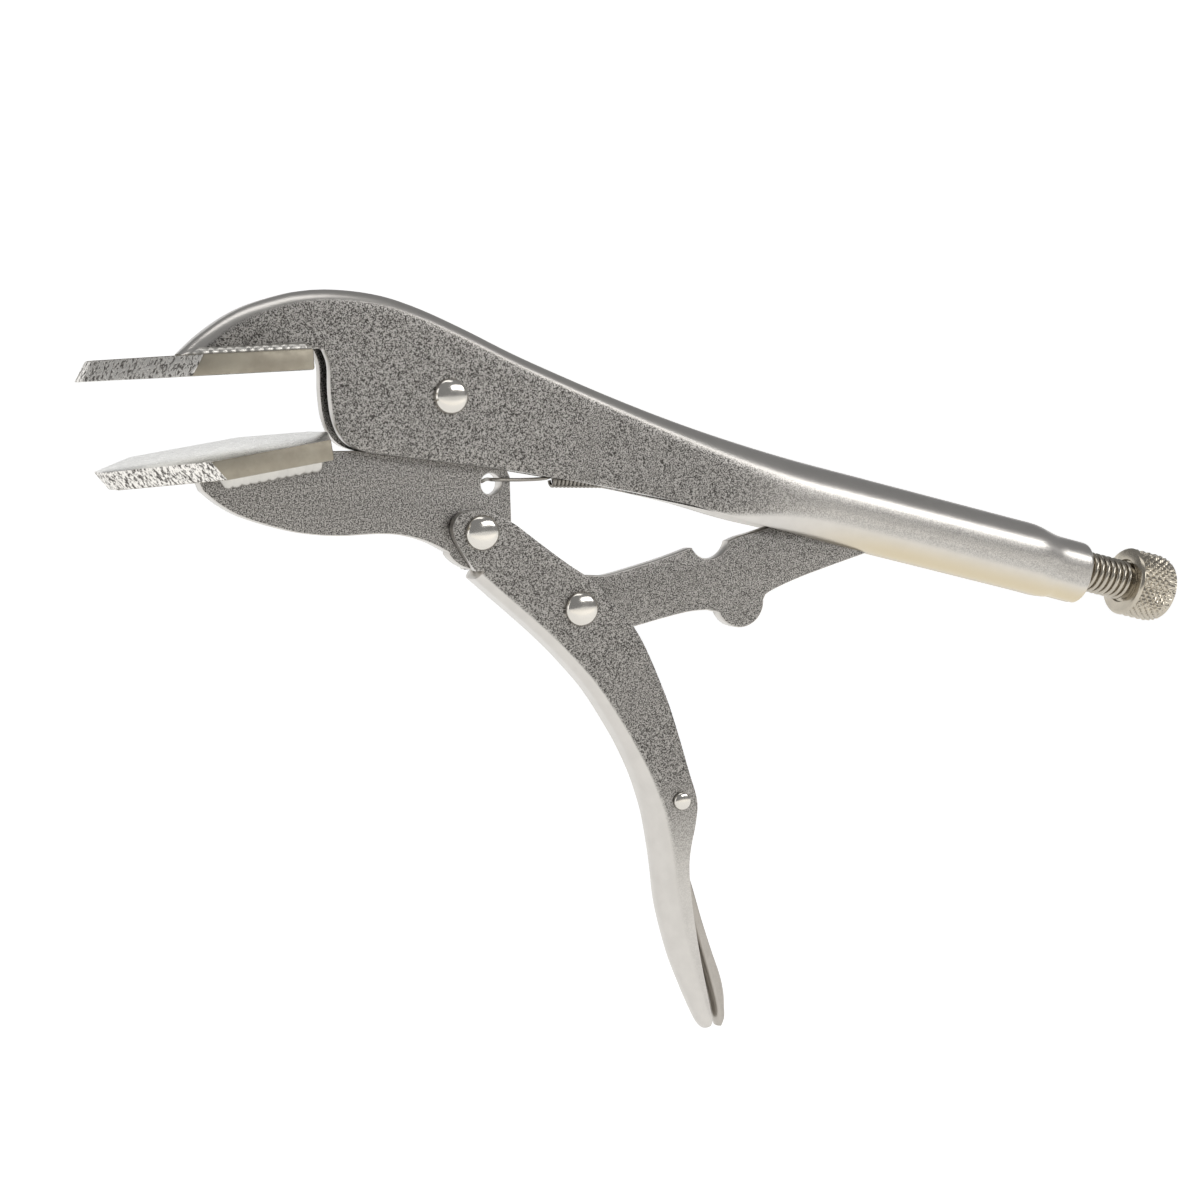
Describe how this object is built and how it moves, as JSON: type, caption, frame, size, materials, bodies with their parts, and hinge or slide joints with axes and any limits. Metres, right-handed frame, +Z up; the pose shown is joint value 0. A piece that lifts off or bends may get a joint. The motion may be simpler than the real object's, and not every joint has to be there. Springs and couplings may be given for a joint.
{
  "type": "locking pliers",
  "caption": "Locking sheet-metal pliers with wide welded jaw plates, over-centre toggle link, knurled adjusting screw, return spring and release lever, in satin nickel.",
  "frame": {"origin": "on the upper plate's clamping face, on the tool's mid-plane, 19 mm behind the nose", "axes": "+X back towards the adjusting knob, +Y across the tool, +Z up, away from the lower jaw"},
  "size_m": [0.2581, 0.064, 0.1668],
  "materials": {
    "nickel_sheet": "satin nickel plate, fine cast-like grain, smoother along the folds",
    "nickel_flat": "satin nickel plate on flat blanked steel, fine salt-and-pepper grain",
    "plate_steel": "warm satin plate with rough bevelled front faces",
    "weld_metal": "bright rippled weld bead",
    "polished_rivet": "polished domed heads",
    "screw_nickel": "plated thread",
    "knob_nickel": "satin plate, diamond knurl",
    "spring_wire": "dark drawn wire"
  },
  "bodies": {
    "fixed_handle": {"fixed_handle": "nickel_sheet", "upper_plate": "plate_steel", "upper_weld_near": "weld_metal", "upper_weld_far": "weld_metal", "jaw_rivet": "polished_rivet", "spring_anchor": "nickel_flat", "return_spring": "spring_wire"},
    "lower_jaw": {"lower_jaw": "nickel_flat", "lower_plate": "plate_steel", "lower_weld_near": "weld_metal", "lower_weld_far": "weld_metal", "lever_rivet": "polished_rivet"},
    "lever_handle": {"lever_handle": "nickel_sheet", "link_rivet": "polished_rivet", "release_rivet": "polished_rivet"},
    "toggle_link": {"toggle_link": "nickel_flat"},
    "release_lever": {"release_lever": "nickel_sheet"},
    "adjusting_screw": {"adjusting_screw": "screw_nickel"},
    "adjusting_knob": {"adjusting_knob": "knob_nickel"}
  },
  "joints": [
    {"name": "jaw_pivot", "type": "hinge", "parent": "fixed_handle", "child": "lower_jaw", "pos_m": [0.058, 0, -0.007], "axis": [0, 1, 0], "range_deg": [0, 13.6], "stiffness_Nm_per_rad": 0.5, "springref_deg": -40.11, "deforming": ["return_spring"]},
    {"name": "lever_pivot", "type": "hinge", "parent": "lower_jaw", "child": "lever_handle", "pos_m": [0.0633, 0, -0.036], "axis": [0, 1, 0], "range_deg": [-48, 0]},
    {"name": "link_pivot", "type": "hinge", "parent": "lever_handle", "child": "toggle_link", "pos_m": [0.085, 0, -0.054], "axis": [0, 1, 0], "range_deg": [0, 44.5]},
    {"name": "release_pivot", "type": "hinge", "parent": "lever_handle", "child": "release_lever", "pos_m": [0.106, 0, -0.098], "axis": [0, 1, 0], "range_deg": [-3, 1.5]},
    {"name": "knob_turn", "type": "hinge", "parent": "adjusting_screw", "child": "adjusting_knob", "pos_m": [0.2143, 0, -0.0562], "axis": [0.9573, 0, -0.289], "range_deg": [0, 2760]},
    {"name": "screw_travel", "type": "slide", "parent": "fixed_handle", "child": "adjusting_screw", "axis": [0.9573, 0, -0.289], "range_m": [0, 0.012]}
  ],
  "couplings": [
    {"joint": "lever_pivot", "follows": "jaw_pivot", "ratio": -3.46},
    {"joint": "link_pivot", "follows": "jaw_pivot", "ratio": 3.2},
    {"joint": "knob_turn", "follows": "screw_travel", "rad_per_m": 3927}
  ]
}
